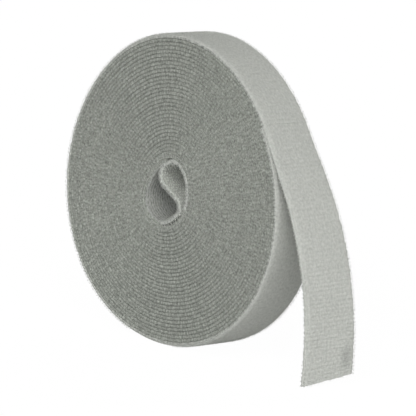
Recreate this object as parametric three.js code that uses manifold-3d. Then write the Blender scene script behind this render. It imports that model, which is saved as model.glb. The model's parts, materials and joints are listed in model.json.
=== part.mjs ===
// A roll of soft garden tape for tying plants to their canes. The tape has loops on its outer face and
// hooks on its inner face, so it holds to itself and needs no core. It starts as a loose end that folds
// across the open eye, winds outwards, and leaves the roll as a free tail that hangs down to the ground.
// The roll stands on its rim. X runs to the tail, Y along the roll's axis and Z up, in millimetres.
import * as THREE from "three";
import { mergeVertices } from "three/addons/utils/BufferGeometryUtils.js";
import Module from "manifold-3d";

const wasm = await Module();
wasm.setup();

// The tape
const tapeWidth = 20;
const tapeThickness = 1.2;

// The winding: the hooks and loops hold neighbouring turns this far apart
const turnGap = 0.72;
const turnCount = 22;
const stepsPerTurn = 24;
const eyeRadius = 10.5;
const eyeShiftX = -1.6;
const eyeShiftZ = -2.3;
const eyeStretch = 0.4;
const eyeStretchClock = 33;
const standingFlatDepth = 0.5;

// The folded inner end, as the winder's slotted pin left it. Clock angles run clockwise from the top.
const innerEndClock = 295;
const innerArmClock = 190;
const innerEndLean = 1.6;
const foldSteps = 30;
const foldJoinSteps = 3;
const foldShares = [
  [0.22, -0.88],
  [0.51, -0.72],
  [0.71, -0.46],
  [0.6, -0.18],
  [0.12, 0.12],
  [-0.19, 0.34],
  [-0.31, 0.57],
  [-0.24, 0.82],
  [-0.02, 1],
];

// The tail: it follows the roll to its peel line, runs straight, then curls down to the ground
const tailClock = 55;
const tailClingAngle = 2.6;
const tailSkewAngle = 3.4;
const tailLead = 22;
const tailCurlRadius = 100;
const tailCurlSteps = 14;
const tailLeadSteps = 3;
const tailPeelSteps = 2;
const tailGroundClearance = 0.4;
const tailCutRise = 2.8;
const seamGap = 0.3;

const cutOverrun = 5;
const fullTurn = 360;

// Sizes that follow from the ones above
const turnPitch = tapeThickness + turnGap;
const rollRadius = eyeRadius + turnCount * turnPitch + tapeThickness;
const stepClock = fullTurn / stepsPerTurn;
const lastClock = tailClock + turnCount * fullTurn;
const tailPeelClock = tailClock + tailClingAngle;
const seamClock = THREE.MathUtils.radToDeg(seamGap / rollRadius);
const tightestLoop = eyeRadius;

// A place in the plane of the roll: x to the tail, y up, measured from the roll's axis
function atClock(clock, radius) {
  const angle = THREE.MathUtils.degToRad(clock);
  return new THREE.Vector2(radius * Math.sin(angle), radius * Math.cos(angle));
}

// The middle of the tape's thickness, anywhere along the winding. The eye lies a little off the axis and
// is longer one way than the other, and the turns grow round and drift back to the axis on the way out.
function windingPoint(clock) {
  const progress = (clock - tailClock) / (turnCount * fullTurn);
  const drift = 1 - Math.max(progress, 0);
  const fromLongWay = THREE.MathUtils.degToRad(clock - eyeStretchClock);
  const stretch = eyeStretch * drift * Math.cos(2 * fromLongWay);
  const radius = eyeRadius + tapeThickness / 2 + turnCount * turnPitch * progress + stretch;
  return atClock(clock, radius).add(new THREE.Vector2(eyeShiftX * drift, eyeShiftZ * drift));
}

// The inner end lies against the first turn, one pitch inside it, and its cut edge leans into the eye
function innerArmPoint(clock) {
  const lean = innerEndLean * (clock - innerArmClock) / (innerEndClock - innerArmClock);
  return windingPoint(clock - fullTurn).sub(atClock(clock, lean));
}

function innerEndPath() {
  const arm = [];
  for (let clock = innerEndClock; clock > innerArmClock; clock -= stepClock) {
    arm.push(innerArmPoint(clock));
  }
  arm.push(innerArmPoint(innerArmClock));
  const fold = foldShares.map(([across, up]) => new THREE.Vector2(
    eyeShiftX + across * eyeRadius,
    eyeShiftZ + up * eyeRadius,
  ));
  const firstTurn = [];
  for (let step = foldJoinSteps; step >= 0; step -= 1) {
    firstTurn.push(windingPoint(tailClock - step * stepClock));
  }
  const curve = new THREE.SplineCurve([...arm.slice(-2), ...fold, ...firstTurn]);
  const knots = fold.length + firstTurn.length + 1;
  const points = [];
  for (let step = 1; step < foldSteps; step += 1) {
    const share = (1 + (knots - 1) * step / foldSteps) / knots;
    points.push(curve.getPoint(share));
  }
  return [...arm, ...points];
}

function windingPath() {
  const path = innerEndPath();
  for (let step = 0; step < turnCount * stepsPerTurn; step += 1) {
    path.push(windingPoint(tailClock + step * stepClock));
  }
  path.push(windingPoint(lastClock - seamClock / 2));
  return path;
}

// Unit vectors square to a path, on its left, averaged over the two stretches that meet at each point
function normalsAlong(path) {
  return path.map((point, index) => {
    const before = path[Math.max(index - 1, 0)];
    const after = path[Math.min(index + 1, path.length - 1)];
    const along = after.clone().sub(before).normalize();
    return new THREE.Vector2(-along.y, along.x);
  });
}

// A strip of tape between two edge paths, one on the near side and one on the far side of the roll
function stripGeometry(nearPath, farPath) {
  const nearNormals = normalsAlong(nearPath);
  const farNormals = normalsAlong(farPath);
  const corner = (point, normal, side, y) => {
    const place = point.clone().addScaledVector(normal, side * tapeThickness / 2);
    return [place.x, y, place.y];
  };
  const positions = [];
  const triangles = [];
  const sides = 4;
  nearPath.forEach((nearPoint, index) => {
    const farPoint = farPath[index];
    positions.push(
      ...corner(nearPoint, nearNormals[index], 1, -tapeWidth / 2),
      ...corner(nearPoint, nearNormals[index], -1, -tapeWidth / 2),
      ...corner(farPoint, farNormals[index], -1, tapeWidth / 2),
      ...corner(farPoint, farNormals[index], 1, tapeWidth / 2),
    );
    if (index === 0) return;
    for (let side = 0; side < sides; side += 1) {
      const a = (index - 1) * sides + side;
      const b = (index - 1) * sides + (side + 1) % sides;
      triangles.push(a, b, b + sides);
      triangles.push(a, b + sides, a + sides);
    }
  });
  const last = (nearPath.length - 1) * sides;
  triangles.push(0, 2, 1, 0, 3, 2);
  triangles.push(last, last + 1, last + 2, last, last + 2, last + 3);
  const geometry = new THREE.BufferGeometry();
  geometry.setAttribute("position", new THREE.Float32BufferAttribute(positions, 3));
  geometry.setIndex(triangles);
  return geometry;
}

function toSolid(geometry) {
  const bare = geometry.clone();
  bare.deleteAttribute("normal");
  bare.deleteAttribute("uv");
  const merged = mergeVertices(bare);
  return new wasm.Manifold(new wasm.Mesh({
    numProp: 3,
    vertProperties: new Float32Array(merged.attributes.position.array),
    triVerts: new Uint32Array(merged.index.array),
  }));
}

function toGeometry(solid) {
  const mesh = solid.getMesh();
  const geometry = new THREE.BufferGeometry();
  geometry.setAttribute("position", new THREE.Float32BufferAttribute(mesh.vertProperties, mesh.numProp));
  geometry.setIndex(new THREE.Uint32BufferAttribute(mesh.triVerts, 1));
  return geometry;
}

// The gap between the tape at a point of its middle line and the tape along a stretch of it
function gapToStretch(point, start, end) {
  const alongX = end.x - start.x;
  const alongY = end.y - start.y;
  const reach = (point.x - start.x) * alongX + (point.y - start.y) * alongY;
  const share = Math.min(Math.max(reach / (alongX * alongX + alongY * alongY), 0), 1);
  const across = Math.hypot(start.x + share * alongX - point.x, start.y + share * alongY - point.y);
  return across - tapeThickness;
}

// The least gap from the winding to itself: from every point to every stretch that lies further on, past
// the bend that joins them
function leastGap(path) {
  const run = [0];
  for (let index = 1; index < path.length; index += 1) {
    run.push(run[index - 1] + path[index].distanceTo(path[index - 1]));
  }
  let least = Infinity;
  for (let index = 0; index < path.length; index += 1) {
    for (let other = index + 2; other < path.length; other += 1) {
      if (run[other - 1] - run[index] < tightestLoop) continue;
      least = Math.min(least, gapToStretch(path[index], path[other - 1], path[other]));
    }
  }
  return least;
}

const windingLine = windingPath();
const looseGap = leastGap(windingLine);
console.log(`Least gap from the winding to itself: ${looseGap.toFixed(2)} mm`);

// The winding is flattened where it stands, below its lowest corners
const fullWinding = stripGeometry(windingLine, windingLine);
fullWinding.computeBoundingBox();
const axisHeight = -fullWinding.boundingBox.min.z - standingFlatDepth;
const groundBlock = new THREE.BoxGeometry(
  2 * rollRadius,
  tapeWidth + 2 * cutOverrun,
  standingFlatDepth + cutOverrun,
);
groundBlock.translate(0, 0, -axisHeight - (standingFlatDepth + cutOverrun) / 2);
const standingWinding = toGeometry(toSolid(fullWinding).subtract(toSolid(groundBlock)));

// One edge of the tail: round the roll to this edge's own peel line, straight on, then a slow curl that
// ends at the given height above the ground
function tailPath(peelClock, tipHeight) {
  const path = [];
  const startClock = tailClock + seamClock / 2;
  const middleRadius = rollRadius - tapeThickness / 2;
  for (let step = 0; step < tailPeelSteps; step += 1) {
    path.push(atClock(startClock + (peelClock - startClock) * step / tailPeelSteps, middleRadius));
  }
  const peel = atClock(peelClock, middleRadius);
  const leadHeading = -THREE.MathUtils.degToRad(peelClock);
  const lead = new THREE.Vector2(Math.cos(leadHeading), Math.sin(leadHeading));
  for (let step = 0; step < tailLeadSteps; step += 1) {
    path.push(peel.clone().addScaledVector(lead, tailLead * step / tailLeadSteps));
  }
  const curlStart = peel.clone().addScaledVector(lead, tailLead);
  const drop = tipHeight - axisHeight - curlStart.y;
  const tipHeading = -Math.acos(Math.cos(leadHeading) + drop / tailCurlRadius);
  for (let step = 0; step <= tailCurlSteps; step += 1) {
    const heading = leadHeading + (tipHeading - leadHeading) * step / tailCurlSteps;
    path.push(new THREE.Vector2(
      curlStart.x + tailCurlRadius * (Math.sin(leadHeading) - Math.sin(heading)),
      curlStart.y + tailCurlRadius * (Math.cos(heading) - Math.cos(leadHeading)),
    ));
  }
  return path;
}

const nearTail = tailPath(tailPeelClock + tailSkewAngle / 2, tailGroundClearance);
const farTail = tailPath(tailPeelClock - tailSkewAngle / 2, tailGroundClearance + tailCutRise);

const windingMaterial = new THREE.MeshStandardMaterial({ color: 0x8f928b, roughness: 0.95, metalness: 0 });
const tailMaterial = new THREE.MeshStandardMaterial({ color: 0xbabcb6, roughness: 0.9, metalness: 0 });

const woundTape = new THREE.Mesh(standingWinding, windingMaterial);
woundTape.name = "wound_tape";
const freeTail = new THREE.Mesh(stripGeometry(nearTail, farTail), tailMaterial);
freeTail.name = "free_tail";

const tapeRoll = new THREE.Group();
tapeRoll.position.z = axisHeight;
tapeRoll.add(woundTape, freeTail);

export default tapeRoll;
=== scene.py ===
# %% [markdown]
# # A roll of plant tie tape
#
# Gardeners tie plants to canes with a soft tape that has tiny loops on one face and tiny hooks on the
# other. It grips itself, so the roll needs no core and no clip. This lesson builds the roll round a packed
# model that already has the right sizes and a hinge for the tape's free end.
#
# The whole object is one strip, 20 mm wide. So one Geometry Nodes tree lays all the tape, each time on
# another stretch of one path: the folded inner end, the wound turns, the last turn that shows its outer
# face, and the free tail. A second tree plants the hooks and loops on them.

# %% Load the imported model
import json
import math

import bpy
from mathutils import Matrix, Vector


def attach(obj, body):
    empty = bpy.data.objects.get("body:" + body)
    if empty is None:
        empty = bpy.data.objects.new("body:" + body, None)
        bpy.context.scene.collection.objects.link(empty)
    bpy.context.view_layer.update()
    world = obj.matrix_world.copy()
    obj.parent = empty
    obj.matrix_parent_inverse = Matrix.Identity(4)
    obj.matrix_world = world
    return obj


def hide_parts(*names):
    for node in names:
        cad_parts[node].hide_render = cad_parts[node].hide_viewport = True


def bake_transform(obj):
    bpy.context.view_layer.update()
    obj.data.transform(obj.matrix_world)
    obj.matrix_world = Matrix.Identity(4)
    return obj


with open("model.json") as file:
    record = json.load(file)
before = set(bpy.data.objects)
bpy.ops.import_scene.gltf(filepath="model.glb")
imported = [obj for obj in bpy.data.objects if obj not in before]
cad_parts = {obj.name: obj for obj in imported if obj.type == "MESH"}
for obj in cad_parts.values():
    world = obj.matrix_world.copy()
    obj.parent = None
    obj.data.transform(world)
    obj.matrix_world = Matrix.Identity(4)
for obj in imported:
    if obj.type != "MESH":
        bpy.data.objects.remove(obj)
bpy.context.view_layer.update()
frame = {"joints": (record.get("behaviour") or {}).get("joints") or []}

# %% [markdown]
# ## Sizes
#
# The hinge line, where the tail leaves the roll, fixes the roll: it lies on the outermost turn, at a known
# clock angle, so its distance to the side gives the roll's radius. The tape is 20 mm wide. Pressed flat,
# its hooks and loops make it a little thinner than the pitch of the turns, and where nothing presses on
# the loops they spring up a little more.
#
# The eye is round apart from two waves, each given as its count of lobes, its height and the clock angle
# of one of its lobes.

# %% Sizes of the tape and the roll
mm = 0.001
full_turn = 360
half_turn = 180

tape_width = 20 * mm
half_width = tape_width / 2
pile_thickness = 1.12 * mm
free_loft = 0.3 * mm

tail_clock = 55
turn_count = 33
last_clock = tail_clock + turn_count * full_turn
eye_radius = 10.56 * mm
eye_shift = Vector((-1.46 * mm, -0.58 * mm))
eye_waves = ((2, 1.06 * mm, 31), (3, 0.41 * mm, 12))

hinge = next(joint for joint in frame["joints"] if joint["name"] == "tail_peel")
seam_place = Vector(hinge["pos_m"])
roll_radius = seam_place.x / math.sin(math.radians(tail_clock))
turn_pitch = (roll_radius - pile_thickness - eye_radius) / turn_count
print(f"Roll radius {roll_radius / mm:.2f} mm, {turn_count} turns, {turn_pitch / mm:.3f} mm a turn")

# %% [markdown]
# ## The path of the tape
#
# A spiral is a rule, so it is written as one: the radius grows steadily with the clock angle, measured
# clockwise from the top. Three things keep it from looking like a machine part. The eye lies a little off
# the axis and has its waves, which fade on the way out. The outer turns bulge a little in three places,
# because nothing hard holds them round. Low down, each turn is pressed up where the roll stands. The axis
# is as high as the lowest place on the last turn asks for.

# %% Places along the winding
bulge_height = 0.6 * mm
bulge_count = 3
settle_height = 15 * mm
sink = 0.12 * mm
rib_height = 0.05 * mm
ground_gap = 0.03 * mm
turns_above_lowest = (full_turn + tail_clock - half_turn) / full_turn
lowest_radius = roll_radius - turn_pitch * turns_above_lowest - bulge_height
axis_height = lowest_radius + free_loft + rib_height + ground_gap - sink


def at_clock(clock, radius):
    """A place in the plane of the roll, x to the tail and y up, from the roll's axis."""
    angle = math.radians(clock)
    return Vector((radius * math.sin(angle), radius * math.cos(angle)))


def settle(place):
    """Presses a place up from the ground, most at the very bottom."""
    depth = max(settle_height - axis_height - place.y, 0)
    return Vector((place.x, place.y + sink * (depth / settle_height) ** 2))


def winding_point(clock):
    """The middle of the tape's thickness, anywhere along the winding."""
    progress = (clock - tail_clock) / (turn_count * full_turn)
    outwards = max(progress, 0)
    inwards = 1 - outwards
    radius = eye_radius + pile_thickness / 2 + turn_count * turn_pitch * progress
    for lobes, height, lobe_clock in eye_waves:
        radius += height * inwards * math.cos(lobes * math.radians(clock - lobe_clock))
    radius += bulge_height * outwards * math.cos(bulge_count * math.radians(clock))
    return settle(at_clock(clock, radius) + eye_shift * inwards)


def winding_clocks(first_turn, last_turn, step_clock=3):
    """The clock angles from one count of turns to another, every few degrees."""
    steps = round((last_turn - first_turn) * full_turn / step_clock)
    start = tail_clock + first_turn * full_turn
    return [start + step * step_clock for step in range(steps + 1)]


# %% [markdown]
# ## The folded inner end
#
# A winding machine grips the tape in a slotted pin. When the pin is drawn out, the gripped end stays as a
# fold across the eye: an arm that lies backwards against the first turn, then an S that swings over to
# where the first turn begins. The S is given point by point, as shares of the eye's radius, joined by a
# smooth curve that passes through each of them.

# %% Places along the inner end
inner_end_clock = 358
inner_arm_clock = 190
inner_end_lean = 0.1 * mm
arm_pitch = pile_thickness + 0.06 * mm
arm_step_clock = 8
join_clocks = (20, 28, 36, 45, 55, 65)
fold_shares = (
    (0.12, -0.92), (0.32, -0.8), (0.49, -0.66), (0.64, -0.53), (0.68, -0.4), (0.65, -0.27),
    (0.56, -0.14), (0.42, -0.03), (0.23, 0.08), (0.02, 0.19), (-0.17, 0.29), (-0.28, 0.4),
    (-0.32, 0.54), (-0.31, 0.7), (-0.25, 0.83), (-0.15, 0.93), (0, 1.02), (0.16, 1.11),
)


def inner_arm_point(clock):
    """The inner end lies close inside the first turn, and its cut edge leans into the eye."""
    lean = inner_end_lean * (clock - inner_arm_clock) / (inner_end_clock - inner_arm_clock)
    return winding_point(clock) - at_clock(clock, arm_pitch + lean)


def smooth_through(knots, steps_between):
    """Points of a Catmull-Rom curve from the second knot to the last but one."""
    points = []
    for a, b, c, d in zip(knots, knots[1:], knots[2:], knots[3:]):
        for step in range(steps_between):
            t = step / steps_between
            pull = (c - a) * t + (2 * a - 5 * b + 4 * c - d) * t ** 2 + (3 * (b - c) + d - a) * t ** 3
            points.append(b + pull / 2)
    return points


def inner_arm():
    """From the cut edge round the arm to where the fold leaves it."""
    clocks = range(inner_end_clock, inner_arm_clock, -arm_step_clock)
    return [inner_arm_point(clock) for clock in (*clocks, inner_arm_clock)]


def inner_fold(steps_between=6):
    """From the end of the arm through the fold, up to where the first turn begins."""
    fold = [eye_shift + Vector(shares) * eye_radius for shares in fold_shares]
    join = [winding_point(clock) for clock in join_clocks]
    return smooth_through([*inner_arm()[-2:], *fold, *join], steps_between)


# %% [markdown]
# ## The free tail
#
# The tail follows the roll to its peel line, runs straight on, and curls down to the ground. The line is a
# little askew, so each edge of the tape has its own path. The middle of the two gives the tape's path, and
# half their difference is kept beside each point as the skew.

# %% Places along the tail
tail_peel_clock = 56.9
tail_skew_angle = 3.8
tail_lead = 19.2 * mm
tail_curl_radius = 107.9 * mm
near_tip_height = 0.7 * mm
far_tip_height = 3.9 * mm
tail_step = 1 * mm


def tail_edge(peel_clock, tip_height):
    """The places along one edge of the tail as a function of the run from the seam, and its full run."""
    outer_start = turn_count * full_turn
    peel = winding_point(outer_start + peel_clock)
    middle_radius = peel.length
    peel_run = middle_radius * math.radians(peel_clock - tail_clock)
    lead_heading = -math.radians(peel_clock)
    lead = Vector((math.cos(lead_heading), math.sin(lead_heading)))
    curl_start = peel + lead * tail_lead
    drop = tip_height - axis_height - curl_start.y
    tip_heading = -math.acos(math.cos(lead_heading) + drop / tail_curl_radius)
    full_run = peel_run + tail_lead + (lead_heading - tip_heading) * tail_curl_radius

    def place(run):
        if run < peel_run:
            return winding_point(outer_start + tail_clock + math.degrees(run / middle_radius))
        if run < peel_run + tail_lead:
            return peel + lead * (run - peel_run)
        heading = lead_heading - (run - peel_run - tail_lead) / tail_curl_radius
        across = math.sin(lead_heading) - math.sin(heading)
        down = math.cos(heading) - math.cos(lead_heading)
        return curl_start + Vector((across, down)) * tail_curl_radius

    return place, full_run


near_edge, near_run = tail_edge(tail_peel_clock + tail_skew_angle / 2, near_tip_height)
far_edge, far_run = tail_edge(tail_peel_clock - tail_skew_angle / 2, far_tip_height)
tail_run = (near_run + far_run) / 2
cut_slant = (near_run - far_run) / 2
tail_steps = math.ceil(tail_run / tail_step)
tail_runs = [tail_run * step / tail_steps for step in range(tail_steps + 1)]
tail_stretch = [(near_edge(run) + far_edge(run)) / 2 for run in tail_runs]
tail_skews = [(far_edge(run) - near_edge(run)) / 2 for run in tail_runs]
print(f"Tail: {near_run / mm:.1f} mm along the near edge, {far_run / mm:.1f} mm along the far edge")

# %% [markdown]
# ## How far the loops spring up
#
# Hooks are stiff, but loops are springy: they rise until something stops them. Between the turns that is
# the next turn, so the loft there is whatever room the spiral leaves. On the last turn and the tail nothing
# stops them. Just past the seam the tail still lies over the last turn, and the room under it opens as the
# roll curves away from it.

# %% Loft of the loops
clearance = 0.03 * mm


def winding_loft(clock):
    """The room for the loops at a clock angle of the winding."""
    outside = clock + full_turn
    if outside <= last_clock:
        room = (winding_point(outside) - winding_point(clock)).length
        return max(room - pile_thickness - clearance, 0)
    peeled = math.radians(max(outside - last_clock - tail_peel_clock + tail_clock, 0)) * roll_radius
    return min(free_loft, turn_pitch - pile_thickness - clearance + peeled ** 2 / (2 * roll_radius))


def shared_loft(place, neighbours):
    """The loft where two stretches meet in the eye: each gets half of the room between them."""
    room = min((other - place).length for other in neighbours)
    return min(free_loft, max(room - pile_thickness - clearance, 0) / 2)


# %% [markdown]
# ## Paths as meshes of edges
#
# Geometry Nodes can turn a chain of edges into a curve, and it keeps the attributes of the chain's points.
# So each path is such a chain. It carries "along", the distance from the very first edge of the strip,
# "loft", and "skew".

# %% A path with its attributes
helpers = []


def new_object(name, data):
    """An object in the scene."""
    made = bpy.data.objects.new(name, data)
    bpy.context.scene.collection.objects.link(made)
    return made


def run_along(places):
    """The distance from the first place to each place."""
    runs = [0]
    for before, after in zip(places, places[1:]):
        runs.append(runs[-1] + (after - before).length)
    return runs


def make_path(name, places, lofts, start, skews=None):
    """A chain of edges through the places, and the length of its run."""
    mesh = bpy.data.meshes.new(name)
    edges = [(index, index + 1) for index in range(len(places) - 1)]
    mesh.from_pydata([(place.x, 0, axis_height + place.y) for place in places], edges, [])
    runs = run_along(places)
    for attribute, values in (("along", [start + run for run in runs]), ("loft", lofts)):
        mesh.attributes.new(attribute, "FLOAT", "POINT").data.foreach_set("value", values)
    skew = mesh.attributes.new("skew", "FLOAT_VECTOR", "POINT")
    for index, vector in enumerate(skews or []):
        skew.data[index].vector = (vector.x, 0, vector.y)
    path = new_object(name, mesh)
    helpers.append(path)
    return path, runs[-1]


# %% [markdown]
# ## The tape's section
#
# The tape is cut across and drawn as a closed outline: two flat faces, and at each edge a blunt selvedge
# that is a little thinner than the pile. On the last turn and the tail the loops are free, so there they
# round softly over the edge. Turns deep in the roll show only their edges, so their outline has no points
# along the faces. The stretches that show a face get many, which also carry the ribs of the free tape. The
# edge is given as points, each with its inset from the edge of the tape and its height above the middle.

# %% Outlines of the section
blunt_edge = ((0.26 * mm, 0.56 * mm), (0.1 * mm, 0.5 * mm), (0, 0.33 * mm))
soft_edge = ((0.9 * mm, 0.56 * mm), (0.35 * mm, 0.42 * mm), (0.08 * mm, 0.24 * mm), (0, 0.1 * mm))
shown_face_points = 16
hidden_face_points = 1


def half_outline(edge, face_points):
    """From the middle of a face to the edge of the tape."""
    face_half = half_width - edge[0][0]
    face = [(face_half * index / face_points, pile_thickness / 2) for index in range(1, face_points)]
    return face + [(half_width - inset, height) for inset, height in edge]


def section_outline(name, loop_edge, hook_edge, face_points):
    """A closed outline, x across the tape and y through its thickness, with its loop face up."""
    hook_half = [(x, -y) for x, y in reversed(half_outline(hook_edge, face_points))]
    right = [*half_outline(loop_edge, face_points), *hook_half]
    left = [(-x, y) for x, y in reversed(right)]
    top_middle = [(0, pile_thickness / 2)] if face_points > hidden_face_points else []
    bottom_middle = [(x, -y) for x, y in top_middle]
    outline = [*top_middle, *right, *bottom_middle, *left]
    mesh = bpy.data.meshes.new(name)
    edges = [(index, (index + 1) % len(outline)) for index in range(len(outline))]
    mesh.from_pydata([(x, y, 0) for x, y in outline], edges, [])
    section = new_object(name, mesh)
    helpers.append(section)
    return section


edge_section = section_outline("edge_section", blunt_edge, blunt_edge, hidden_face_points)
eye_section = section_outline("eye_section", blunt_edge, blunt_edge, shown_face_points)
free_section = section_outline("free_section", soft_edge, blunt_edge, shown_face_points)

# %% [markdown]
# ## Helpers for node trees
#
# Node trees are plain data, so a few short helpers keep them readable. One adds a node and fills its inputs
# with values or links. A node's output becomes a term, and sums on terms add the nodes that work them out,
# so a formula below reads as a formula.

# %% Node helpers
geometry_tree = "GeometryNodeTree"
shader_tree = "ShaderNodeTree"
kinds_of_defaults = {int: "Int", float: "Float", tuple: "Vector"}


class Term:
    """A node's output in a formula."""

    def __init__(self, socket):
        self.socket = socket
        self.tree = socket.id_data

    def then(self, operation, *values):
        """One step of a sum on numbers or vectors, such as MAXIMUM."""
        kind = "ShaderNodeMath" if self.socket.type == "VALUE" else "ShaderNodeVectorMath"
        return output_of(self.tree, kind, dict(enumerate((self, *values))), operation=operation)

    def __add__(self, value):
        return self.then("ADD", value)

    def __sub__(self, value):
        return self.then("SUBTRACT", value)

    def __rsub__(self, value):
        return output_of(self.tree, "ShaderNodeMath", {0: value, 1: self}, operation="SUBTRACT")

    def __truediv__(self, value):
        return self.then("DIVIDE", value)

    def __mul__(self, value):
        if self.socket.type == "VALUE":
            return self.then("MULTIPLY", value)
        return output_of(self.tree, "ShaderNodeVectorMath", {0: self, "Scale": value}, operation="SCALE")


def fill(node, inputs):
    """Fills a node's inputs with values, or links terms to them."""
    for socket, value in inputs.items():
        if isinstance(value, Term):
            node.id_data.links.new(value.socket, node.inputs[socket])
        else:
            node.inputs[socket].default_value = value


def add(tree, kind, inputs=None, **settings):
    """Adds a node, sets its properties and fills its inputs."""
    made = tree.nodes.new(kind)
    for name, value in settings.items():
        setattr(made, name, value)
    fill(made, inputs or {})
    return made


def output_of(tree, kind, inputs=None, **settings):
    """Adds a node and gives its first output as a term."""
    return Term(add(tree, kind, inputs, **settings).outputs[0])


def parts_of(vector):
    """The X, Y and Z of a vector."""
    return [Term(socket) for socket in add(vector.tree, "ShaderNodeSeparateXYZ", {0: vector}).outputs]


def combined(tree, x=0, y=0):
    """A vector from its X and Y."""
    return output_of(tree, "ShaderNodeCombineXYZ", {"X": x, "Y": y})


def ramp_of(value, low, high):
    """0 at low and 1 at high, with a soft start and end."""
    inputs = {0: value, 1: low, 2: high}
    return output_of(value.tree, "ShaderNodeMapRange", inputs, interpolation_type="SMOOTHSTEP")


def line_noise(position, detail=2, roughness=0.5):
    """Noise along a line, around one half."""
    inputs = {"W": position, "Scale": 1, "Detail": detail, "Roughness": roughness}
    return output_of(position.tree, "ShaderNodeTexNoise", inputs, noise_dimensions="1D")


def map_noise(place, scale=1, detail=2):
    """Noise over a map, around one half."""
    inputs = {"Vector": place, "Scale": scale, "Detail": detail}
    return output_of(place.tree, "ShaderNodeTexNoise", inputs, noise_dimensions="2D")


def wave_of(run, pitch):
    """A wave along a run, from -1 to 1."""
    return (run / pitch * math.tau).then("COSINE")


def new_tree(name, tree_type, inputs, outputs):
    """A tree, its inputs as terms and its output node. Each input has a default value, or else a kind."""
    tree = bpy.data.node_groups.new(name, tree_type)
    for socket, value in inputs.items():
        kind = value if isinstance(value, str) else kinds_of_defaults[type(value)]
        made = tree.interface.new_socket(socket, in_out="INPUT", socket_type="NodeSocket" + kind)
        if kind != value:
            made.default_value = value
    for socket, kind in outputs.items():
        tree.interface.new_socket(socket, in_out="OUTPUT", socket_type="NodeSocket" + kind)
    given = {socket.name: Term(socket) for socket in tree.nodes.new("NodeGroupInput").outputs}
    return tree, given, tree.nodes.new("NodeGroupOutput")


def process(geometry, kind, inputs=None, **settings):
    """Passes a geometry through one more node of Geometry Nodes."""
    return output_of(geometry.tree, "GeometryNode" + kind, {0: geometry, **(inputs or {})}, **settings)


def attribute_of(tree, name, data_type="FLOAT"):
    return output_of(tree, "GeometryNodeInputNamedAttribute", {"Name": name}, data_type=data_type)


def stored(geometry, name, value, data_type="FLOAT", domain="POINT"):
    inputs = {"Name": name, "Value": value}
    return process(geometry, "StoreNamedAttribute", inputs, data_type=data_type, domain=domain)


# %% [markdown]
# ## Where a point of the tape lies
#
# Everything on the tape is placed by one formula, kept in a node group: how far along the strip a point
# lies, how far across it, and how far through its thickness. A slow wander moves the strip sideways,
# because no winder lays every turn flush. The wander depends only on "along", so neighbouring pieces meet
# without a step. The cut end is oblique and not quite straight, so the last stretch is drawn out more on
# one edge, and unevenly.

# %% The group that places points
across_axis = (0, 1, 0)
noise_middle = 0.5
cut_wave = 3 * mm
cut_unevenness = 0.7
place_inputs = {
    "Wander": 0.5 * mm,
    "Wander reach": 60 * mm,
    "Cut slant": 0.0,
    "Cut start": 0.0,
    "Cut end": 1.0,
    "Seed": 7.0,
}


def frame_path(path, step):
    """Turns a chain of edges into an evenly stepped curve that knows its middle and its outward side."""
    curve = process(path, "MeshToCurve")
    curve = process(curve, "ResampleCurve", {"Length": step}, mode="LENGTH")
    tangent = output_of(path.tree, "GeometryNodeInputTangent")
    curve = stored(curve, "outward", tangent.then("CROSS_PRODUCT", across_axis), "FLOAT_VECTOR")
    curve = stored(curve, "middle", output_of(path.tree, "GeometryNodeInputPosition"), "FLOAT_VECTOR")
    return process(curve, "SetCurveNormal", {"Normal": across_axis}, mode="FREE")


def tangent_of(tree):
    """The direction along the strip, from the outward side that the curve has stored."""
    inputs = {0: across_axis, 1: attribute_of(tree, "outward", "FLOAT_VECTOR")}
    return output_of(tree, "ShaderNodeVectorMath", inputs, operation="CROSS_PRODUCT")


def make_place_group():
    tree, given, result = new_tree(
        "tape_place",
        geometry_tree,
        {"Across": 0.0, "Through": 0.0, "Forward": 0.0, **place_inputs},
        {"Place": "Vector", "Drawn": "Float"},
    )
    along = attribute_of(tree, "along")
    across = given["Across"]
    slow = line_noise(along / given["Wander reach"] + given["Seed"], detail=3, roughness=0.6)
    shift = (slow - noise_middle) * given["Wander"]
    place = attribute_of(tree, "middle", "FLOAT_VECTOR") + combined(tree, y=across + shift)
    place += attribute_of(tree, "outward", "FLOAT_VECTOR") * given["Through"]
    across_share = across / half_width
    place += attribute_of(tree, "skew", "FLOAT_VECTOR") * across_share

    uneven = (line_noise(across / cut_wave) - noise_middle) * cut_unevenness
    cut_share = ramp_of(along, given["Cut start"], given["Cut end"])
    drawn = (uneven - across_share) * given["Cut slant"] * cut_share
    fill(result, {"Place": place + tangent_of(tree) * (drawn + given["Forward"]), "Drawn": drawn})
    return tree


place_group = make_place_group()


def placed(tree, given, values):
    """The place of a point and how far it is drawn out, from values for it and from the tree's inputs."""
    inputs = {**{name: given[name] for name in place_inputs}, **values}
    group = add(tree, "GeometryNodeGroup", inputs, node_tree=place_group)
    return [Term(socket) for socket in group.outputs]


# %% [markdown]
# ## Laying tape
#
# The tree sweeps the section along the path and then places each point by the formula. Ribs run across
# the faces, as the knitted loops do. Beads run along the selvedges, where the weft turns back at each
# pick. Both follow a run that is stretched and squeezed a little, so that nothing repeats exactly. The
# beads differ in height too, and they thicken the tape by less than they widen it.

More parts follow.
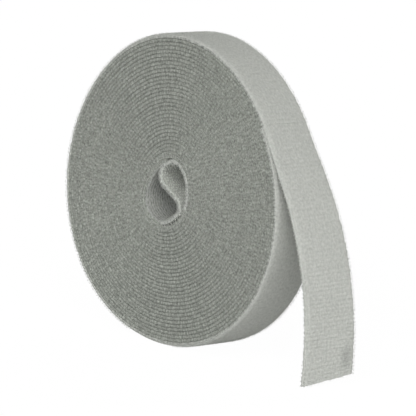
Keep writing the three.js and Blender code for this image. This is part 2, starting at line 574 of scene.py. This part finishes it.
# %% The tree that lays tape
rib_stray = 1.2 * mm
rib_stray_reach = 7 * mm
bead_stray = 3 * mm
bead_stray_reach = 2 * mm
bead_change_reach = 1.3 * mm
bead_change_range = (0.25, 0.75)
bead_least = 0.2
bead_growth = 1.6
bead_thickening = 0.6
face_depth = 0.2 * mm
tape_inputs = {
    "Path": "Geometry",
    "Section": "Object",
    "Pile margin": blunt_edge[0][0],
    "Bare margin": blunt_edge[1][0],
    "Step": 0.35 * mm,
    "Rib pitch": 1.3 * mm,
    "Rib height": 0.0,
    "Bead pitch": 1.3 * mm,
    "Bead height": 0.11 * mm,
    **place_inputs,
    "Loop face": "Material",
    "Hook face": "Material",
    "Selvedge": "Material",
    "Loose selvedge": "Material",
    "Loose from": 0.0,
    "Loose to": 0.0,
}


def between(value, low, high):
    """1 where a value lies between two others, and 0 elsewhere."""
    return value.then("GREATER_THAN", low) * value.then("LESS_THAN", high)


def wavy_run(along, amount, reach, seed):
    """The run along the tape, stretched and squeezed a little so that nothing on it repeats exactly."""
    return along + line_noise(along / reach + seed) * amount


def sprung_loft(tree, side):
    """The loft of the loops, which only the loop face has."""
    return attribute_of(tree, "loft") * side.then("MAXIMUM", 0)


def make_tape_tree():
    tree, given, result = new_tree("lay_tape", geometry_tree, tape_inputs, {"Tape": "Geometry"})
    curve = frame_path(given["Path"], given["Step"])
    section = add(tree, "GeometryNodeObjectInfo", {"Object": given["Section"]})
    outline = process(Term(section.outputs["Geometry"]), "MeshToCurve")
    corner_across, corner_through, _ = parts_of(output_of(tree, "GeometryNodeInputPosition"))
    outline = stored(outline, "across", corner_across)
    outline = stored(outline, "through", corner_through)
    strip = process(curve, "CurveToMesh", {"Profile Curve": outline, "Fill Caps": True})

    along = attribute_of(tree, "along")
    across = attribute_of(tree, "across")
    through = attribute_of(tree, "through")
    from_middle = across.then("ABSOLUTE")
    pile_end = half_width - given["Pile margin"]
    bare_start = half_width - given["Bare margin"]
    edge_share = ramp_of(from_middle, pile_end, bare_start)
    side = through.then("SIGN")
    edge_side = across.then("SIGN")

    rib_run = wavy_run(along, rib_stray, rib_stray_reach, given["Seed"])
    rib = wave_of(rib_run, given["Rib pitch"]) * given["Rib height"]
    edge_seed = given["Seed"] + edge_side
    bead_run = wavy_run(along, bead_stray, bead_stray_reach, edge_seed)
    change = ramp_of(line_noise(along / bead_change_reach + edge_seed), *bead_change_range)
    pick = wave_of(bead_run, given["Bead pitch"]) * (change * bead_growth + bead_least)
    bead = pick * given["Bead height"] * edge_share

    pile = (rib + sprung_loft(tree, side)) * (1 - edge_share)
    height = pile + bead * bead_thickening
    values = {"Across": across + edge_side * bead, "Through": through + side * height}
    place, drawn = placed(tree, given, values)
    strip = process(strip, "SetPosition", {"Position": place})
    # The pick wave is kept for the shaders, which paint light on its crests and shade in its pits
    strip = stored(strip, "pick", pick * 0.5 + 0.5)

    # The patterns read a map in metres: u runs along the tape, and v across it and over its edges
    strip = stored(strip, "UVMap", combined(tree, along + drawn, across + through), "FLOAT2", "CORNER")
    strip = process(strip, "SetShadeSmooth")
    strip = process(strip, "RealizeInstances")
    strip = process(strip, "SetMaterial", {"Material": given["Selvedge"]})
    in_pile = from_middle.then("LESS_THAN", bare_start)
    choices = {
        "Loose selvedge": between(along, given["Loose from"], given["Loose to"]),
        "Loop face": in_pile * through.then("GREATER_THAN", face_depth),
        "Hook face": in_pile * through.then("LESS_THAN", -face_depth),
    }
    for name, selection in choices.items():
        strip = process(strip, "SetMaterial", {"Selection": selection, "Material": given[name]})
    fill(result, {"Tape": strip})
    return tree


tape_tree = make_tape_tree()

# %% [markdown]
# ## Planting hooks and loops
#
# A hook and a loop are both one bent nylon filament, so one tree plants either. The filament is a short
# curve from its foot to its tip, drawn towards its bend. The tree stands a grid of points on one face, rows
# along the tape and columns across it, shakes each point a little, and puts a filament there. Towards the
# edges the filaments splay outwards, which is what makes the rim of such a roll look soft. The tree's own
# values plant the low arches of the loop face.

# %% The tree that plants filaments
thread_steps = 5
thread_sides = 3
splay_reach = 2 * mm
length_spread = 0.18
shake_seed, tilt_seed, spin_seed, length_seed = 1, 2, 3, 4
plant_inputs = {
    "Path": "Geometry",
    "Foot": (-0.33 * mm, 0, 0),
    "Bend": (0, 0.12 * mm, 0.75 * mm),
    "Tip": (0.33 * mm, 0.05 * mm, 0),
    "Thread radius": 0.06 * mm,
    "Row pitch": 1.3 * mm,
    "Columns": 21,
    "Reach": half_width - 0.4 * mm,
    "Side": 1.0,
    "Depth": 0.08 * mm,
    "Jitter": 0.2 * mm,
    "Spin": 1.2,
    "Tilt": 0.25,
    "Splay": 1.0,
    "From": 0.0,
    "To": 10.0,
    "Skip from": -2.0,
    "Skip to": -1.0,
    **place_inputs,
    "Filament": "Material",
}


def random_vector(tree, seed):
    inputs = {0: (-1, -1, -1), 1: (1, 1, 1), "Seed": seed}
    return output_of(tree, "FunctionNodeRandomValue", inputs, data_type="FLOAT_VECTOR")


def make_planting_tree():
    tree, given, result = new_tree("plant_filaments", geometry_tree, plant_inputs, {"Pile": "Geometry"})
    places = {"Start": given["Foot"], "Middle": given["Bend"], "End": given["Tip"]}
    thread = output_of(tree, "GeometryNodeCurveQuadraticBezier", {"Resolution": thread_steps, **places})
    inputs = {"Resolution": thread_sides, "Radius": given["Thread radius"]}
    profile = output_of(tree, "GeometryNodeCurvePrimitiveCircle", inputs, mode="RADIUS")
    filament = process(thread, "CurveToMesh", {"Profile Curve": profile, "Fill Caps": True})

    rows = frame_path(given["Path"], given["Row pitch"])
    ends = {"Start": combined(tree, given["Reach"] * -1), "End": combined(tree, given["Reach"])}
    columns = output_of(tree, "GeometryNodeCurvePrimitiveLine", ends)
    columns = process(columns, "ResampleCurve", {"Count": given["Columns"]}, mode="COUNT")
    column_across, _, _ = parts_of(output_of(tree, "GeometryNodeInputPosition"))
    columns = stored(columns, "across", column_across)
    grid = process(rows, "CurveToMesh", {"Profile Curve": columns})

    along = attribute_of(tree, "along")
    across = attribute_of(tree, "across")
    side = given["Side"]
    shake_across, shake_along, shake_turn = parts_of(random_vector(tree, shake_seed))
    root = pile_thickness / 2 - given["Depth"]
    values = {
        "Across": shake_across * given["Jitter"] + across,
        "Through": (root + sprung_loft(tree, side)) * side,
        "Forward": shake_along * given["Jitter"],
    }
    place, drawn = placed(tree, given, values)
    grid = process(grid, "SetPosition", {"Position": place})
    grid = stored(grid, "drawn", drawn)

    # Up is away from the face, and outwards over the edge near the selvedges
    edge_share = ramp_of(across.then("ABSOLUTE"), half_width - splay_reach, half_width)
    splay = edge_share * given["Splay"] * across.then("SIGN")
    up = attribute_of(tree, "outward", "FLOAT_VECTOR") * side + combined(tree, y=splay)
    up += random_vector(tree, tilt_seed) * given["Tilt"]
    lengthwise = tangent_of(tree) + random_vector(tree, spin_seed) * given["Spin"]
    axes = {"Primary Axis": up, "Secondary Axis": lengthwise * shake_turn.then("SIGN")}
    turn = output_of(tree, "FunctionNodeAxesToRotation", axes, primary_axis="Z", secondary_axis="X")
    wanted = between(along, given["From"], given["To"])
    skipped = between(along, given["Skip from"], given["Skip to"])
    inputs = {
        "Selection": wanted.then("GREATER_THAN", skipped),
        "Instance": filament,
        "Rotation": turn,
        "Scale": random_vector(tree, length_seed) * length_spread + (1, 1, 1),
    }
    pile = process(grid, "InstanceOnPoints", inputs)
    pile = process(pile, "RealizeInstances")
    chart = combined(tree, along + attribute_of(tree, "drawn"), across)
    pile = stored(pile, "UVMap", chart, "FLOAT2", "CORNER")
    pile = process(pile, "SetShadeSmooth")
    fill(result, {"Pile": process(pile, "SetMaterial", {"Material": given["Filament"]})})
    return tree


planting_tree = make_planting_tree()

# %% [markdown]
# ## Colours and grain
#
# The tape is one dull grey-green nylon, so the colour hardly changes. What the eye reads is the yarn: small
# lighter and darker flecks, thin lines where the knitting repeats, and a slow unevenness over a few
# centimetres. Light and shade are painted in as well: each pick of the selvedge has a lighter crest
# and darker pits, its rim is painted darker towards the grooves or paler as a highlight, and a small
# dimple near the tail's tip is painted as a patch of shade. These effects are shader groups, built once,
# and each finish uses them in its own strength. They read the map that was stored on the tape, so they
# follow it round every bend.

# %% Shared shader groups
stitch_range = (0.75, 0.1)
fibre_scale = 3
fibre_share = 0.5
patch_size = (25 * mm, 12 * mm)
pick_shading_range = (0.1, 0.95)
pick_shading_middle = 0.45
rim_shading_range = (0.3 * mm, 0.52 * mm)
dimple_shade_size = (6 * mm, 2.8 * mm)
dimple_shade_range = (1.3, 0.3)
dimple_shade_raggedness = 0.5


def chart_parts(tree):
    """How far a point lies along the tape's map and across it."""
    along, across, _ = parts_of(output_of(tree, "ShaderNodeUVMap", uv_map="UVMap"))
    return along, across


def map_point(tree, along_size, across_size):
    """A point of the tape's map, counted in cells of the given size."""
    along, across = chart_parts(tree)
    return combined(tree, along / along_size, across / across_size)


def stored_value(tree, name):
    """A number that the tape's mesh carries."""
    return Term(add(tree, "ShaderNodeAttribute", attribute_name=name).outputs["Fac"])


def make_knit_group():
    """Rows of knitted stitches: a height to bump with."""
    tree, given, result = new_tree(
        "knit_grain",
        shader_tree,
        {"Stitch along": 0.8 * mm, "Stitch across": 0.8 * mm, "Looseness": 0.6},
        {"Height": "Float"},
    )
    cells = map_point(tree, given["Stitch along"], given["Stitch across"])
    inputs = {"Vector": cells, "Scale": 1, "Randomness": given["Looseness"]}
    stitch = output_of(tree, "ShaderNodeTexVoronoi", inputs, voronoi_dimensions="2D")
    fibre = map_noise(cells, scale=fibre_scale, detail=3)
    fill(result, {"Height": fibre * fibre_share + ramp_of(stitch, *stitch_range)})
    return tree


def make_fleck_and_shade_group():
    """Yarn flecks, slow unevenness, painted light and shade on each pick and rim, and a dimple's painted
    shade.
    """
    tree, given, result = new_tree(
        "yarn_flecks_and_painted_shade",
        shader_tree,
        {
            "Color": "Color",
            "Fleck along": 1.3 * mm,
            "Fleck across": 0.7 * mm,
            "Fleck strength": 0.2,
            "Patch strength": 0.06,
            "Pick shading strength": 0.0,
            "Row pitch": 1.1 * mm,
            "Row strength": 0.0,
            "Rim shading strength": 0.0,
            "Dimple shade along": 0.0,
            "Dimple shade across": 0.0,
            "Dimple shade strength": 0.0,
        },
        {"Color": "Color"},
    )
    along, across = chart_parts(tree)
    flecks = map_noise(map_point(tree, given["Fleck along"], given["Fleck across"])) - noise_middle
    patches = map_noise(map_point(tree, *patch_size)) - noise_middle
    # Painted light and shade on each pick: crests lighter, pits darker
    pick_shading = ramp_of(stored_value(tree, "pick"), *pick_shading_range) - pick_shading_middle
    # Painted shade towards the rim of the selvedge, where the grooves between turns lie; a negative
    # strength paints a highlight there instead
    rim_shading = ramp_of(stored_value(tree, "through").then("ABSOLUTE"), *rim_shading_range)
    shade = flecks * 2 * given["Fleck strength"] + 1
    shade += patches * 2 * given["Patch strength"]
    shade += pick_shading * given["Pick shading strength"]
    shade -= rim_shading * given["Rim shading strength"]
    shade += wave_of(across, given["Row pitch"]) * given["Row strength"]

    # A patch of painted shade near the tail's tip, where the tape is dimpled; the dimple itself is not
    # modelled
    length, width = dimple_shade_size
    off_along = (along - given["Dimple shade along"]) / length
    off_across = (across - given["Dimple shade across"]) / width
    off = combined(tree, off_along, off_across)
    distance = Term(add(tree, "ShaderNodeVectorMath", {0: off}, operation="LENGTH").outputs["Value"])
    ragged = map_noise(off, scale=2, detail=3) * dimple_shade_raggedness + distance
    dimple_shade = ramp_of(ragged, *dimple_shade_range) * given["Dimple shade strength"]
    fill(result, {"Color": given["Color"] * (shade * (1 - dimple_shade))})
    return tree


knit_group = make_knit_group()
fleck_and_shade_group = make_fleck_and_shade_group()

# %% [markdown]
# ## Finishes
#
# - The loop face is brushed, so it is the palest and softest. In the eye it is not worn fluffy yet, and its
#   knitted rows show as lengthwise stripes; there it is also painted darker, as the shade of the eye's
#   hollow.
# - The hook face is the ground weave between its hooks, and shows its rows.
# - The selvedge is the same nylon, tight, and painted darker as the shade in the gaps between the turns.
#   Each pick's crest is painted lighter and its pits darker, as light and shade fall on the beads, and it
#   is painted a little darker towards the grooves. Where the tape is not pressed between its neighbours,
#   its loops fluff over the selvedge; there it is painted less dark, with a painted highlight along its
#   rim.
# - The hooks and loops themselves are fine nylon filament, which shines a little. The loops deep in the
#   roll, and those on the face in the eye, are painted darker, as the shade in the grooves and in the eye.
#
# Cloth scatters light at grazing angles, so the brushed face and the selvedges have some sheen.

# %% Finishes
knit_sockets = ("Stitch along", "Stitch across", "Looseness")
stitch_depth = 0.15 * mm


def make_finish(name, color, roughness, sheen=0, knit=(), flecks=None, bump=0):
    """A material of the tape, with its flecks in the colour and its stitches in the bump."""
    material = bpy.data.materials.new(name)
    material.use_nodes = True
    tree = material.node_tree
    opaque = (*color, 1)
    values = {"Color": opaque, **(flecks or {})}
    flecked = output_of(tree, "ShaderNodeGroup", values, node_tree=fleck_and_shade_group, name="Flecks")
    stitches = output_of(tree, "ShaderNodeGroup", dict(zip(knit_sockets, knit)), node_tree=knit_group)
    values = {"Height": stitches, "Strength": bump, "Distance": stitch_depth}
    fill(tree.nodes["Principled BSDF"], {
        "Base Color": flecked,
        "Roughness": roughness,
        "Specular IOR Level": 0.25,
        "Sheen Weight": sheen,
        "Sheen Roughness": 0.5,
        "Sheen Tint": opaque,
        "Normal": output_of(tree, "ShaderNodeBump", values),
    })
    return material


# Painted shade of a small dimple near the tail's tip, on the loop face and its loops
dimple_shade_rise = 6 * mm
dimple_shade = {"Dimple shade across": 6.9 * mm, "Dimple shade strength": 0.25}
loop_face = make_finish(
    "brushed_loop_face",
    (0.455, 0.465, 0.436),
    roughness=0.92,
    sheen=0.15,
    knit=(0.55 * mm, 0.45 * mm, 0.9),
    flecks={"Fleck along": 1.0 * mm, "Fleck across": 0.8 * mm, "Fleck strength": 0.28, **dimple_shade},
    bump=0.5,
)
# The loop face in the eye is painted darker, as the shade of the eye's hollow
shaded_eye_loop_face = make_finish(
    "shaded_eye_loop_face",
    (0.32, 0.33, 0.308),
    roughness=0.92,
    knit=(0.8 * mm, 1.1 * mm, 0.3),
    flecks={"Fleck along": 1.2 * mm, "Fleck strength": 0.7, "Row strength": 0.12},
    bump=0.8,
)
hook_face = make_finish(
    "woven_hook_face",
    (0.41, 0.425, 0.39),
    roughness=0.85,
    knit=(0.7 * mm, 0.8 * mm, 0.2),
    flecks={"Fleck strength": 0.4},
    bump=0.7,
)
selvedge_knit = (0.75 * mm, 0.3 * mm, 0.5)
# Painted light and shade on the pressed selvedge: lighter crests and darker pits on each pick, darker
# towards the grooves
selvedge_flecks_and_shading = {
    "Fleck along": 0.8 * mm,
    "Fleck across": 0.5 * mm,
    "Fleck strength": 0.7,
    "Pick shading strength": 0.28,
    "Rim shading strength": 0.05,
}
# Painted light and shade on the loose selvedge: lighter crests and darker pits on each pick, a highlight
# along its rim
loose_selvedge_flecks_and_shading = {
    "Fleck along": 0.9 * mm,
    "Fleck across": 0.5 * mm,
    "Fleck strength": 0.5,
    "Pick shading strength": 0.35,
    "Rim shading strength": -0.3,
}
# The selvedge is the same nylon as the faces, painted darker as the shade in the gaps between the turns
selvedge = make_finish(
    "shaded_woven_selvedge", (0.254, 0.267, 0.24), 0.8, 0.1, selvedge_knit, selvedge_flecks_and_shading, bump=0.5,
)
# The loose selvedge is painted less dark than the pressed one, as less shade falls on it
loose_selvedge = make_finish(
    "loose_selvedge", (0.34, 0.35, 0.325), 0.85, 0.1, selvedge_knit, loose_selvedge_flecks_and_shading, bump=0.5,
)
dull = 0.6
shiny = 0.45
strong = {"Fleck strength": 0.3}
weak = {"Fleck strength": 0.15}
loop_filament = make_finish("loop_filament", (0.48, 0.495, 0.46), dull, flecks={**strong, **dimple_shade})
# The loops in the eye are painted darker, as the shade of the eye's hollow
shaded_eye_filament = make_finish("shaded_eye_filament", (0.4, 0.412, 0.385), dull, flecks=strong)
hook_filament = make_finish("hook_filament", (0.64, 0.655, 0.615), shiny, flecks=weak)
# The loops deep in the grooves between the turns are painted darker, as the shade there
shaded_edge_filament = make_finish("shaded_edge_filament", (0.25, 0.261, 0.238), dull, flecks=strong)

# %% [markdown]
# ## Turning a tree into a plain mesh
#
# A path gets the tree as a modifier. Its inputs are set by their identifiers before anything is evaluated,
# because a tree with no section would give nothing. The result is then copied into a mesh of its own, and
# the modifier is removed.

# %% Lay a stretch, and plant on it
pieces = {}
paths = {}
spans = {}


def grow(name, path, tree, values):
    """Runs a tree on a path and keeps the result as a plain mesh."""
    modifier = path.modifiers.new(tree.name, "NODES")
    modifier.node_group = tree
    for item in tree.interface.items_tree:
        if item.in_out == "INPUT" and item.name in values:
            modifier[item.identifier] = values[item.name]
    graph = bpy.context.evaluated_depsgraph_get()
    evaluated = path.evaluated_get(graph)
    mesh = bpy.data.meshes.new_from_object(evaluated, preserve_all_data_layers=True, depsgraph=graph)
    mesh.name = name
    pieces[name] = new_object(name, mesh)
    path.modifiers.remove(modifier)
    print(f"{name}: {len(mesh.polygons)} faces")


def strip_end():
    """How much of the strip is laid so far."""
    return max((end for start, end in spans.values()), default=0)


def lay_tape(name, places, lofts, section, skews=None, **sizes):
    """Lays the next stretch of the strip along its places."""
    start = strip_end()
    path, run = make_path(name + "_path", places, lofts, start, skews)
    paths[name] = path
    spans[name] = (start, start + run)
    values = {"Section": section, "Loop face": loop_face, "Hook face": hook_face, "Selvedge": selvedge}
    grow(name, path, tape_tree, {**values, **sizes})


# %% [markdown]
# ## The strip, from its cut inner end to its tip
#
# The hidden part of the winding is laid in three pieces, so that none of them gets too heavy. The fold and
# the tail are free, so their pile stands up more. The top of the fold lies close to the arm and to the end
# of the first turn, and there the loops get half of the room that is left.

# %% Lay the whole strip
cut_reach = 12 * mm
arm_beside_fold = 8
first_turn_beside_fold = range(330, 420, 2)
loose_rim_clock = 60
hidden_turns = (("inner_turns", 1, 16), ("middle_turns", 16, 25), ("outer_turns", 25, turn_count - 1))
hidden_faces = {"Loop face": selvedge, "Hook face": selvedge}
ribbed_and_soft = {
    "Rib height": rib_height,
    "Pile margin": soft_edge[0][0],
    "Bare margin": soft_edge[2][0],
    "Selvedge": loose_selvedge,
}


def lay_turns(name, first_turn, last_turn, section, **sizes):
    """Lays whole turns of the winding."""
    clocks = winding_clocks(first_turn, last_turn)
    places = [winding_point(clock) for clock in clocks]
    lay_tape(name, places, [winding_loft(clock) for clock in clocks], section, **sizes)


arm_places = inner_arm()[:-1]
fold_places = inner_fold()
first_clocks = winding_clocks(0, 1)
inner_places = [*arm_places, *fold_places, *[winding_point(clock) for clock in first_clocks]]
fold_top = fold_places[len(fold_places) // 2:]
beside_fold = arm_places[:arm_beside_fold] + [winding_point(clock) for clock in first_turn_beside_fold]
inner_lofts = [shared_loft(place, fold_top) for place in arm_places]
inner_lofts += [shared_loft(place, beside_fold) for place in fold_places]
inner_lofts += [winding_loft(clock) for clock in first_clocks]
inner_runs = run_along(inner_places)
fold_start = inner_runs[len(arm_places)]
fold_end = inner_runs[len(arm_places) + len(fold_places)]
eye_finish = {
    "Loop face": shaded_eye_loop_face,
    "Loose selvedge": loose_selvedge,
    "Loose from": fold_start,
    "Loose to": fold_end + eye_radius * math.radians(loose_rim_clock),
}
lay_tape("inner_end", inner_places, inner_lofts, eye_section, **eye_finish)
for name, first_turn, last_turn in hidden_turns:
    lay_turns(name, first_turn, last_turn, edge_section, **hidden_faces)
lay_turns("last_turn", turn_count - 1, turn_count, free_section, **ribbed_and_soft)
tail_start = strip_end()
tail_end = tail_start + tail_run
tail_cut = {"Cut slant": cut_slant, "Cut start": tail_end - cut_reach, "Cut end": tail_end}
tail_lofts = [free_loft] * len(tail_stretch)
soft_selvedge = {**ribbed_and_soft, "Selvedge": loop_face}
lay_tape("tail_tape", tail_stretch, tail_lofts, free_section, tail_skews, **soft_selvedge, **tail_cut)
# The dimple's painted shade sits a little above the tip of the tail's far edge
dimple_shade_place = tail_start + far_run - dimple_shade_rise
for material in (loop_face, loop_filament):
    fill(material.node_tree.nodes["Flecks"], {"Dimple shade along": dimple_shade_place})
print(f"The strip is {strip_end():.3f} m long")

# %% [markdown]
# ## The pile
#
# Only stretches that show a face get a full pile: the eye, the last turn and the tail. The hooks are short
# J's, half of them turned each way. The loops are low arches, which in the eye still stand in the rows in
# which they were knitted. The arm presses its hook face against the first turn, so neither has hooks where
# they meet. Along the wound turns a single row of loops at each edge is enough to fill the grooves between
# the turns. The last turn has no loops where the roll stands on it, and the narrow wedge between it and the
# tail, just past the seam, stays empty.

# %% Hooks and loops
hook_shape = {
    "Foot": (0, 0, 0),
    "Bend": (0, 0, 0.9 * mm),
    "Tip": (0.4 * mm, 0, 0.32 * mm),
    "Thread radius": 0.1 * mm,
    "Columns": 19,
    "Side": -1.0,
    "Jitter": 0.12 * mm,
    "Spin": 0.5,
    "Tilt": 0.12,
    "Splay": 0.4,
}
eye_loop_shape = {"Thread radius": 0.09 * mm, "Row pitch": 0.9 * mm, "Columns": 18, "Spin": 0.4}
edge_shape = {
    "Row pitch": 0.95 * mm,
    "Columns": 2,
    "Reach": half_width - 0.25 * mm,
    "Splay": 1.6,
    "Depth": 0.2 * mm,
}
free_edge_shape = {**edge_shape, "Bend": (0, 0.12 * mm, 0.55 * mm), "Splay": 1.1}
hidden_edge_shape = {**edge_shape, "Row pitch": 1.4 * mm}


def plant(name, stretch, material, shape=None, **sizes):
    """Plants filaments on a stretch of the tape that was laid before."""
    grow(name, paths[stretch], planting_tree, {**(shape or {}), "Filament": material, **sizes})


hooks_off_arm = 3 * mm
loops_off_rim = 4 * mm
hooks_off_arm_clock = 8
first_turn_radius = eye_radius + pile_thickness
free_clock = inner_arm_clock - tail_clock - hooks_off_arm_clock
hooks_to = fold_end + first_turn_radius * math.radians(free_clock)
eye_hook_reach = {"From": fold_start + hooks_off_arm, "To": hooks_to}
last_start = spans["last_turn"][0]
peeled_run = 3.5 * mm
pressed_half = 11 * mm
lowest_run = last_start + math.radians(half_turn - tail_clock) * roll_radius
last_reach = {
    "From": last_start + peeled_run,
    "Skip from": lowest_run - pressed_half,
    "Skip to": lowest_run + pressed_half,
}

plant("eye_hooks", "inner_end", hook_filament, hook_shape, **eye_hook_reach)
plant("eye_loops", "inner_end", shaded_eye_filament, eye_loop_shape, To=fold_end - loops_off_rim)
plant("eye_edges", "inner_end", loop_filament, edge_shape)
for name, *_ in hidden_turns:
    plant(name + "_edges", name, shaded_edge_filament, hidden_edge_shape)
plant("last_turn_loops", "last_turn", loop_filament, **last_reach)
plant("last_turn_edges", "last_turn", loop_filament, free_edge_shape, **last_reach)
plant("tail_loops", "tail_tape", loop_filament, **tail_cut)
plant("tail_edges", "tail_tape", loop_filament, free_edge_shape, **tail_cut)
plant("tail_hooks", "tail_tape", hook_filament, hook_shape, From=tail_start + peeled_run, **tail_cut)

# %% [markdown]
# ## Floor, light and camera
#
# The tape is photographed on white. The floor and the world show plain white to the camera, but they light
# the tape at their own plain level. The floor keeps a little of its real shading, so the roll still casts
# a soft shadow. A very broad lamp stands in front, a little to the right, and reaches into the eye. A
# narrower one stands on the right, where the tail's face is the brightest. A weak third one behind keeps
# the roll's back from going black, and lights its top a little.

# %% Floor and world
metre = 1
floor_half = 3 * metre
floor_color = (0.85, 0.85, 0.85, 1)
floor_white_share = 0.96
floor_white_strength = 1.02
ambient_strength = 0.13
white = (1, 1, 1, 1)
bpy.context.scene.view_settings.view_transform = "Standard"
floor_mesh = bpy.data.meshes.new("floor")
floor_corners = [(x * floor_half, y * floor_half, 0) for x, y in ((-1, -1), (1, -1), (1, 1), (-1, 1))]
floor_mesh.from_pydata(floor_corners, [], [(0, 1, 2, 3)])
floor = new_object("floor", floor_mesh)


def seen_white(tree, shader, share, glow_kind, strength=1):
    """Mixes a shader with plain white for rays from the camera, off a gloss or through glass."""
    rays = add(tree, "ShaderNodeLightPath").outputs
    seen = Term(rays["Is Camera Ray"]).then("MAXIMUM", Term(rays["Is Glossy Ray"]))
    seen = seen.then("MAXIMUM", Term(rays["Is Transmission Ray"]))
    glow = output_of(tree, glow_kind, {"Color": white, "Strength": strength})
    return output_of(tree, "ShaderNodeMixShader", {0: seen * share, 1: Term(shader), 2: glow})


floor_material = bpy.data.materials.new("white_floor")
floor_material.use_nodes = True
tree = floor_material.node_tree
matt = tree.nodes["Principled BSDF"]
fill(matt, {"Base Color": floor_color, "Roughness": 1, "Specular IOR Level": 0})
look = seen_white(tree, matt.outputs[0], floor_white_share, "ShaderNodeEmission", floor_white_strength)
fill(tree.nodes["Material Output"], {"Surface": look})
floor_mesh.materials.append(floor_material)

world = bpy.data.worlds.new("studio")
bpy.context.scene.world = world
world.use_nodes = True
tree = world.node_tree
ambient = tree.nodes["Background"]
fill(ambient, {"Color": white, "Strength": ambient_strength})
look = seen_white(tree, ambient.outputs[0], 1, "ShaderNodeBackground")
fill(tree.nodes["World Output"], {"Surface": look})

# %% Lamps
lamps = (
    ("side_light", 0.9, 25, (0.97, -0.16, 0.08)),
    ("front_light", 2.93, 60, (0.53, -0.77, 0.43)),
    ("back_light", 0.7, 60, (-0.55, 0.7, 0.5)),
)
for name, energy, spread, direction in lamps:
    lamp = bpy.data.lights.new(name, "SUN")
    lamp.energy = energy
    lamp.angle = math.radians(spread)
    stand = new_object(name, lamp)
    stand.rotation_mode = "QUATERNION"
    stand.rotation_quaternion = Vector(direction).to_track_quat("Z", "Y")

# %% [markdown]
# ## The camera
#
# The camera stands about a metre away, turned round to the side where the tail hangs, and a little above.
# In its picture the roll is turned a few degrees about its axis, so the camera is turned about that axis
# instead of the object.

# %% Camera
picture_width = 416
focal_pixels = 3090
sensor_width = 36
camera_azimuth = math.radians(46.69)
camera_elevation = math.radians(5.85)
roll_lean = math.radians(6.1)
camera_distance = 1064 * mm
camera_right = 6.26 * mm
camera_down = 5.76 * mm

camera_data = bpy.data.cameras.new("camera")
camera_data.sensor_width = sensor_width
camera_data.lens = sensor_width * focal_pixels / picture_width
camera_data.clip_start = 0.1 * metre
camera_data.clip_end = 50 * metre
camera = new_object("camera", camera_data)
bpy.context.scene.camera = camera
back = Vector((
    math.sin(camera_azimuth) * math.cos(camera_elevation),
    -math.cos(camera_azimuth) * math.cos(camera_elevation),
    math.sin(camera_elevation),
))
right = Vector((math.cos(camera_azimuth), math.sin(camera_azimuth), 0))
up = back.cross(right)
lean = Matrix.Rotation(-roll_lean, 3, "Y")
camera_place = lean @ (back * camera_distance + right * camera_right - up * camera_down)
turned = Matrix([lean @ axis for axis in (right, up, back)]).transposed()
camera.matrix_world = Matrix.Translation(camera_place + Vector((0, 0, axis_height))) @ turned.to_4x4()

# %% [markdown]
# ## Handing over
#
# The paths and sections have done their work. Each wound stretch and the pile that goes with it ride on the
# roll's body, and the tail and its pile keep their place in the world. The part of the imported model that
# each stands for is hidden. The tape is a sheet 20 mm wide; each stretch's span along the strip, and places
# on the tail's near edge from 2 mm before the seam to 5 mm after it, are worked out, but nothing here uses
# them.

# %% Hand over
for helper in helpers:
    bpy.data.objects.remove(helper)

bend_runs = (-2 * mm, 5 * mm)
bend_start, bend_end = [(place.x, 0, axis_height + place.y) for place in map(near_edge, bend_runs)]
tape_piles = {
    "inner_end": ("folded", ["eye_hooks", "eye_loops", "eye_edges"]),
    **{name: ("laid", [name + "_edges"]) for name, *_ in hidden_turns},
    "last_turn": ("laid", ["last_turn_loops", "last_turn_edges"]),
    "tail_tape": ("hung", ["tail_loops", "tail_edges", "tail_hooks"]),
}
for name, (held, pile_names) in tape_piles.items():
    on_tail = name == "tail_tape"
    node = "free_tail" if on_tail else "wound_tape"
    for piece in (pieces[part] for part in (name, *pile_names)):
        if on_tail:
            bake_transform(piece)
        else:
            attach(piece, "roll")
    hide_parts(node)
    start, end = spans[name]
    end - start
